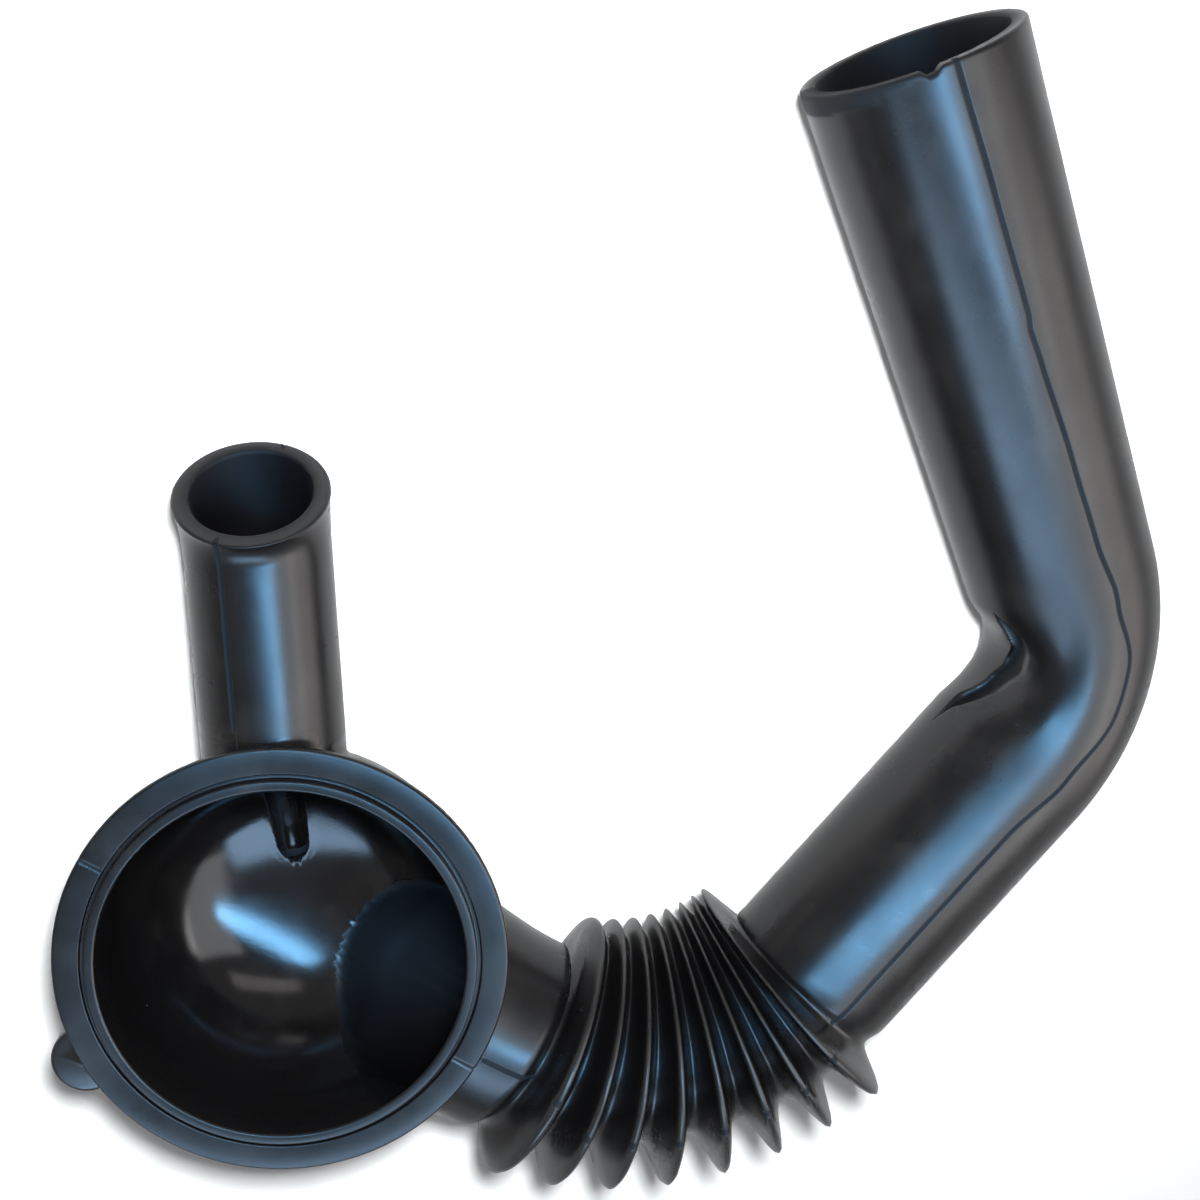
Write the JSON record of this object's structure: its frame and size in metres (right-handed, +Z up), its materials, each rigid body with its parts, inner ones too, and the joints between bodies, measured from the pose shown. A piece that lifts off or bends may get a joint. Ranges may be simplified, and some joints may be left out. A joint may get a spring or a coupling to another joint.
{
  "type": "connecting hose",
  "caption": "Moulded rubber hose: a bowl with a flat sealing rim and a bent spout, then a corrugated neck turning into an elbowed pipe with a flared open end.",
  "frame": {"origin": "on the floor under the middle of the hose's footprint, as it lies at rest", "axes": "+Z up with the bowl's mouth facing upwards, +Y towards the long leg's open end and the spout's mouth, +X from the bowl towards the elbow"},
  "size_m": [0.2362, 0.2482, 0.0597],
  "materials": {
    "rubber_black": "satin"
  },
  "bodies": {
    "root": {"hose": "rubber_black"}
  },
  "joints": []
}
